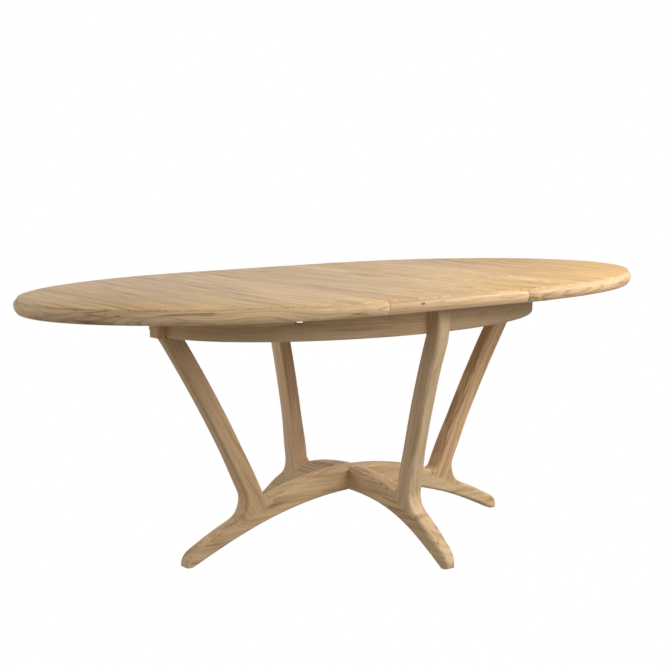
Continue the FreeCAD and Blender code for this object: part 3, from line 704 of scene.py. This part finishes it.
def glide(shape, length, width):
    """Round glide with a softened rim, its wearing face at height zero."""
    radius = width / 2.0
    lathe(shape, [(0.0, 0.0), (0.86 * radius, 0.0), (0.96 * radius, 0.1 * length),
                  (radius, 0.33 * length), (radius, length), (0.0, length)])


def peg(shape, length, width):
    """Dowel with a tapered tip, its tip at height zero."""
    radius = width / 2.0
    lathe(shape, [(0.0, 0.0), (0.6 * radius, 0.0), (0.92 * radius, 0.12 * length),
                  (radius, 0.25 * length), (radius, length), (0.0, length)])


def small_parts(node, make, material, flat=False):
    """Put one small part in the place of each separate solid of a node.

    A part lies along its solid's longest side, or its shortest if flat, and
    its face at height zero looks down or towards the table's middle.
    """
    shape = bmesh.new()
    for low, high in islands(node):
        size = high - low
        middle = (low + high) / 2.0
        pick = min if flat else max
        axis = pick(range(3), key=lambda i: size[i])
        ahead = Vector((0.0, 0.0, 0.0))
        ahead[axis] = 1.0 if axis == 2 else math.copysign(1.0, middle[axis])
        start = middle - ahead * size[axis] / 2.0
        one = bmesh.new()
        make(one, size[axis], max(size[i] for i in range(3) if i != axis))
        turn = ahead.to_track_quat("Z", "Y").to_matrix().to_4x4()
        bmesh.ops.transform(one, matrix=Matrix.Translation(start) @ turn, verts=one.verts)
        part = bpy.data.meshes.new(node + "_part")
        one.to_mesh(part)
        one.free()
        shape.from_mesh(part)
        bpy.data.meshes.remove(part)
    finish_piece(node + "_detailed", shape, node, material)


# ------------------------------------------------------------------ the top
def edge_profile():
    """Section of the moulded edge, as insets from its widest line and drops from the top."""
    s = sizes()
    above = s.edge_widest - s.edge_step
    below = EDGE_DEPTH - s.edge_widest
    points = [(EDGE_WIDTH, s.edge_step + s.edge_quirk), (EDGE_WIDTH - s.edge_quirk, s.edge_step)]
    for i in range(1, PROFILE_STEPS + 1):
        share = 1.0 - (i / PROFILE_STEPS) ** UPPER_SPACING
        inset = (EDGE_WIDTH - s.edge_quirk) * share ** s.edge_roundness
        points.append((inset, s.edge_widest - above * share))
    for i in range(1, PROFILE_STEPS + 1):
        share = (i / PROFILE_STEPS) ** LOWER_SPACING
        points.append((EDGE_WIDTH * share ** s.edge_roundness, s.edge_widest + below * share))
    inner = EDGE_WIDTH + s.edge_lap
    points += [(inner, EDGE_DEPTH), (inner, PANEL_DEPTH), (EDGE_WIDTH, PANEL_DEPTH)]
    return points


def edge_section(shape, x):
    """Stand the moulded edge's section across the front of the table."""
    points = [(x, inset - EDGE_HIGH.y, TOP_HEIGHT - drop) for inset, drop in edge_profile()]
    shape.faces.new([shape.verts.new(point) for point in points])


def half_edge(side):
    """Moulded edge round a half top."""
    shape = bmesh.new()
    seam = SEAM + sizes().seam_gap
    reach = EDGE_HIGH.x - seam
    half_width = EDGE_HIGH.y
    edge_section(shape, 0.0)
    bmesh.ops.spin(shape, geom=shape.verts[:] + shape.edges[:] + shape.faces[:], cent=(0, 0, 0),
                   axis=(0, 0, 1), dvec=(0, 0, 0), angle=math.pi, steps=OVAL_STEPS, use_duplicate=False)
    for vert in shape.verts:
        radius = math.hypot(vert.co.x, vert.co.y)
        vert.co.x = seam + vert.co.x * (reach - half_width + radius) / radius
    ends = edges_where(shape, lambda place: abs(place.x - seam) < WELD)
    round_edges(shape, ends, sizes().seam_ease)
    flip_to(shape, side)
    return shape


def ease_upper_edges(shape):
    """Ease the edges of a board's upper face."""
    upper = edges_where(shape, lambda place: place.z > TOP_HEIGHT - WELD)
    round_edges(shape, upper, sizes().seam_ease)


def half_boards(side):
    """Boards of a half top, cut to its half oval."""
    shape = bmesh.new()
    seam = SEAM + sizes().seam_gap
    bmesh.ops.create_circle(shape, cap_ends=True, segments=2 * OVAL_STEPS, radius=1.0)
    bmesh.ops.scale(shape, vec=(PANEL_HIGH.x - seam, PANEL_HIGH.y, 1.0), verts=shape.verts)
    bmesh.ops.bisect_plane(shape, geom=shape.verts[:] + shape.edges[:] + shape.faces[:], dist=WELD,
                           plane_co=(0, 0, 0), plane_no=(-1, 0, 0), clear_outer=True)
    bmesh.ops.translate(shape, vec=(seam, 0.0, PANEL_LOW.z), verts=shape.verts)
    pull_out(shape, (0.0, 0.0, PANEL_DEPTH))
    bmesh.ops.recalc_face_normals(shape, faces=shape.faces)
    ease_upper_edges(shape)
    flip_to(shape, side)
    return shape


def leaf_boards():
    """Boards of the leaf."""
    shape = bmesh.new()
    bmesh.ops.create_cube(shape, size=1.0)
    setback = Vector((2.0 * sizes().seam_gap, 0.0, 0.0))
    bmesh.ops.scale(shape, vec=LEAF_HIGH - LEAF_LOW - setback, verts=shape.verts)
    bmesh.ops.translate(shape, vec=(LEAF_HIGH + LEAF_LOW) / 2.0, verts=shape.verts)
    ease_upper_edges(shape)
    return shape


def leaf_edge(side):
    """Straight moulded edge along the leaf's front or back."""
    shape = bmesh.new()
    half_length = HALF_LEAF - sizes().seam_gap
    edge_section(shape, -half_length)
    pull_out(shape, (2.0 * half_length, 0.0, 0.0))
    bmesh.ops.recalc_face_normals(shape, faces=shape.faces)
    ends = [edge for edge in shape.edges
            if abs(edge.verts[0].co.x - edge.verts[1].co.x) < WELD]
    round_edges(shape, ends, sizes().seam_ease)
    if side == "back":
        bmesh.ops.scale(shape, vec=(1.0, -1.0, 1.0), verts=shape.verts)
    return shape


# --------------------------------------------------------------- operators
class TABLE_OT_make_top(bpy.types.Operator):
    """Make the boards and moulded edges of the half tops and the leaf"""

    bl_idname = "table.make_top"
    bl_label = "Half tops and leaf"

    def execute(self, context):
        oak = oak_surface("oak_boards", boards, BOARD_LOG, vividness=1.08)
        for i, side in enumerate(("left", "right")):
            finish_piece(side + "_boards", half_boards(side), side + "_top_panel", oak)
            grain = oval_grain(EDGE_HIGH.x, EDGE_HIGH.y, TOP_HEIGHT, HALF_EDGE_SEED + i)
            edge_oak = oak_surface("oak_edge_" + side, grain, EDGE_LOG,
                                   tone=0.97, vividness=0.94, contrast=1.1)
            finish_piece(side + "_moulded_edge", half_edge(side), side + "_edge_nosing",
                         edge_oak)
        finish_piece("leaf_boards", leaf_boards(), "leaf_panel", oak)
        knots = {"front": KNOT, "back": None}
        for i, (side, knot) in enumerate(knots.items()):
            grain = straight_grain((1, 0, 0), LEAF_EDGE_SEED + i, (0.0, 0.0, TOP_HEIGHT))
            edge_oak = oak_surface("oak_leaf_edge_" + side, grain, tone=1.01, vividness=0.98, knot=knot)
            finish_piece("leaf_moulded_edge_" + side, leaf_edge(side), "leaf_nosing_" + side,
                         edge_oak)
        return {"FINISHED"}


class TABLE_OT_dress_base(bpy.types.Operator):
    """Finish the foot beams and the legs in oak"""

    bl_idname = "table.dress_base"
    bl_label = "Legs and foot beams"

    def execute(self, context):
        beams = {"long_foot_beam": ((1, 0, 0), LONG_BEAM_SEED),
                 "cross_foot_beam": ((0, 1, 0), CROSS_BEAM_SEED)}
        for node, (along, seed) in beams.items():
            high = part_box(node)[1]
            grain = straight_grain(along, seed, (0.0, 0.0, high.z))
            dress(node, oak_surface("oak_" + node, grain, tone=1.0, vividness=0.93, contrast=1.6))
        leans = {"leg_right": (0.5, 0, 0.83), "leg_left": (-0.5, 0, 0.83),
                 "leg_back": (0, 0.24, 0.97), "leg_front": (0, -0.24, 0.97)}
        for i, (node, lean) in enumerate(leans.items()):
            low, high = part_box(node)
            grain = straight_grain(lean, LEG_SEED + i, (low + high) / 2.0)
            log = HEART_LOG if node == "leg_right" else STICK_LOG
            vividness = 1.02 if node in ("leg_right", "leg_left") else 0.90
            dress(node, oak_surface("oak_" + node, grain, log, tone=0.97, vividness=vividness,
                                    contrast=1.5))
        return {"FINISHED"}


class TABLE_OT_dress_apron(bpy.types.Operator):
    """Finish the bent apron in oak with its grain round the oval, each quarter darkened as painted
    shade under the top
    """

    bl_idname = "table.dress_apron"
    bl_label = "Apron"

    def execute(self, context):
        middle = (APRON_LOW.z + APRON_HIGH.z) / 2.0
        # painted shade: each quarter of the apron is made darker than the rest of the oak, by its own
        # amount, for the shade under the top's overhang
        painted_shade_tones = {"left_front": 0.93, "left_back": 0.88, "right_front": 0.85, "right_back": 0.88}
        for i, (name, tone) in enumerate(painted_shade_tones.items()):
            grain = oval_grain(APRON_HIGH.x, APRON_HIGH.y, middle, APRON_SEED + i)
            dress("apron_" + name, oak_surface("oak_apron_" + name, grain, tone=tone, vividness=0.96))
        return {"FINISHED"}


class TABLE_OT_make_underframe(bpy.types.Operator):
    """Make the under-frame with eased edges and the pegs, and finish the tenons"""

    bl_idname = "table.make_underframe"
    bl_label = "Runners and under-frame"

    def execute(self, context):
        lengthwise = ("left_runner_front", "left_runner_back",
                      "right_runner_front", "right_runner_back",
                      "guide_rail_front", "guide_rail_back",
                      "guide_tongue_front", "guide_tongue_back",
                      "bearer_glue_blocks", "leg_block_front", "leg_block_back")
        crosswise = ("cross_bearer_left", "cross_bearer_right", "left_half_batten", "right_half_batten",
                     "leaf_batten_left", "leaf_batten_right", "left_draw_stop", "right_draw_stop",
                     "leg_block_left", "leg_block_right")
        groups = (((1, 0, 0), LENGTHWISE_SEED, lengthwise), ((0, 1, 0), CROSSWISE_SEED, crosswise))
        for along, seed, nodes in groups:
            for i, node in enumerate(nodes):
                low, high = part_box(node)
                grain = straight_grain(along, seed + i, (low + high) / 2.0)
                wood = oak_surface("wood_" + node, grain, roughness=HIDDEN_ROUGHNESS)
                eased_copy(node, wood)
        beech = oak_surface("beech_pegs", straight_grain((0, 0, 1), PEG_SEED), contrast=0.5)
        dress("leg_tenons", beech)
        small_parts("leaf_pegs", peg, beech)
        return {"FINISHED"}


class TABLE_OT_make_fasteners(bpy.types.Operator):
    """Finish screws, bolts, washers, inserts and glides"""

    bl_idname = "table.make_fasteners"
    bl_label = "Fasteners and glides"

    def execute(self, context):
        steel = plain_surface("plated_steel", colours().steel, 1.0, STEEL_ROUGHNESS)
        for node in ("left_screws", "right_screws", "leaf_screws"):
            small_parts(node, wood_screw, steel)
        small_parts("leg_bolts", hexagon_bolt, steel)
        small_parts("leg_bolt_washers", washer, steel, flat=True)
        small_parts("crossing_bolt", socket_bolt, steel)
        dress("leg_inserts", steel)
        plastic = plain_surface("glide_nylon", colours().glide, 0.0, GLIDE_ROUGHNESS)
        small_parts("foot_glides", glide, plastic, flat=True)
        return {"FINISHED"}


class TABLE_OT_set_stage(bpy.types.Operator):
    """Set the floor, the soft light and the camera"""

    bl_idname = "table.set_stage"
    bl_label = "Stage"

    def execute(self, context):
        self.lay_floor(context)
        self.light_room(context)
        for name, (place, side, power) in LAMPS.items():
            self.hang_lamp(context, name, Vector(place), side, power)
        self.place_camera(context)
        context.scene.view_settings.view_transform = "Standard"
        return {"FINISHED"}

    def glow(self, n, strength, kind):
        """White to the camera, and a softer glow to the table."""
        path = n.add("LightPath")
        shader = n.add(kind)
        shader.inputs["Color"].default_value = (1.0, 1.0, 1.0, 1.0)
        n.feed(shader.inputs["Strength"], n.steady(path.outputs["Is Camera Ray"], strength, 1.0))
        return shader.outputs[0]

    def lay_floor(self, context):
        """Plain floor that is seen through from below."""
        shape = bmesh.new()
        bmesh.ops.create_grid(shape, x_segments=1, y_segments=1, size=sizes().floor_side / 2.0)
        mesh = bpy.data.meshes.new("studio_floor")
        shape.to_mesh(mesh)
        shape.free()
        floor = bpy.data.objects.new("studio_floor", mesh)
        context.scene.collection.objects.link(floor)
        material = bpy.data.materials.new("studio_floor")
        n = Nodes(material)
        out = n.add("OutputMaterial")
        from_below = n.add("MixShader")
        n.feed(from_below.inputs[0], n.add("NewGeometry").outputs["Backfacing"])
        n.feed(from_below.inputs[1], self.glow(n, FLOOR_GLOW, "Emission"))
        n.feed(from_below.inputs[2], n.add("BsdfTransparent").outputs[0])
        n.feed(out.inputs["Surface"], from_below.outputs[0])
        mesh.materials.append(material)

    def light_room(self, context):
        world = bpy.data.worlds.new("studio")
        n = Nodes(world)
        out = n.add("OutputWorld")
        n.feed(out.inputs["Surface"], self.glow(n, ROOM_GLOW, "Background"))
        context.scene.world = world

    def hang_lamp(self, context, name, place, side, power):
        data = bpy.data.lights.new("lamp_" + name, "AREA")
        data.size = side
        data.energy = power
        lamp = bpy.data.objects.new("lamp_" + name, data)
        lamp.location = place
        lamp.rotation_euler = (LIGHT_AIM - place).to_track_quat("-Z", "Y").to_euler()
        context.scene.collection.objects.link(lamp)

    def place_camera(self, context):
        data = bpy.data.cameras.new("camera")
        data.sensor_width = SENSOR_WIDTH
        data.lens = FOCAL_PIXELS * SENSOR_WIDTH / PICTURE_SIDE
        data.clip_end = CAMERA_REACH
        camera = bpy.data.objects.new("camera", data)
        ahead = Vector((math.cos(CAMERA_PITCH) * math.cos(CAMERA_YAW),
                        math.cos(CAMERA_PITCH) * math.sin(CAMERA_YAW), math.sin(CAMERA_PITCH)))
        level = Vector((math.sin(CAMERA_YAW), -math.cos(CAMERA_YAW), 0.0))
        upright = level.cross(ahead)
        right = level * math.cos(CAMERA_ROLL) + upright * math.sin(CAMERA_ROLL)
        up = upright * math.cos(CAMERA_ROLL) - level * math.sin(CAMERA_ROLL)
        turn = Matrix((right, up, -ahead)).transposed().to_4x4()
        camera.matrix_world = Matrix.Translation(CAMERA_PLACE) @ turn
        context.scene.collection.objects.link(camera)
        context.scene.camera = camera


class TABLE_PT_panel(bpy.types.Panel):
    """Sidebar panel with the table's steps"""

    bl_idname = "TABLE_PT_panel"
    bl_label = "Oval extending table"
    bl_space_type = "VIEW_3D"
    bl_region_type = "UI"
    bl_category = "Table"

    def draw(self, context):
        layout = self.layout
        for group in (context.scene.table_sizes, context.scene.table_colours):
            for name in group.__annotations__:
                layout.prop(group, name)
        for step in STEPS:
            layout.operator(step.bl_idname)


STEPS = (TABLE_OT_set_stage, TABLE_OT_make_top, TABLE_OT_dress_base, TABLE_OT_dress_apron,
         TABLE_OT_make_underframe, TABLE_OT_make_fasteners)
CLASSES = (TableColours, TableSizes) + STEPS + (TABLE_PT_panel,)


def register():
    for item in CLASSES:
        bpy.utils.register_class(item)
    bpy.types.Scene.table_colours = bpy.props.PointerProperty(type=TableColours)
    bpy.types.Scene.table_sizes = bpy.props.PointerProperty(type=TableSizes)


def unregister():
    del bpy.types.Scene.table_sizes
    del bpy.types.Scene.table_colours
    for item in reversed(CLASSES):
        bpy.utils.unregister_class(item)


def main():
    register()
    bpy.ops.table.set_stage()
    bpy.ops.table.make_top()
    bpy.ops.table.dress_base()
    bpy.ops.table.dress_apron()
    bpy.ops.table.make_underframe()
    bpy.ops.table.make_fasteners()


if __name__ == "__main__":
    main()
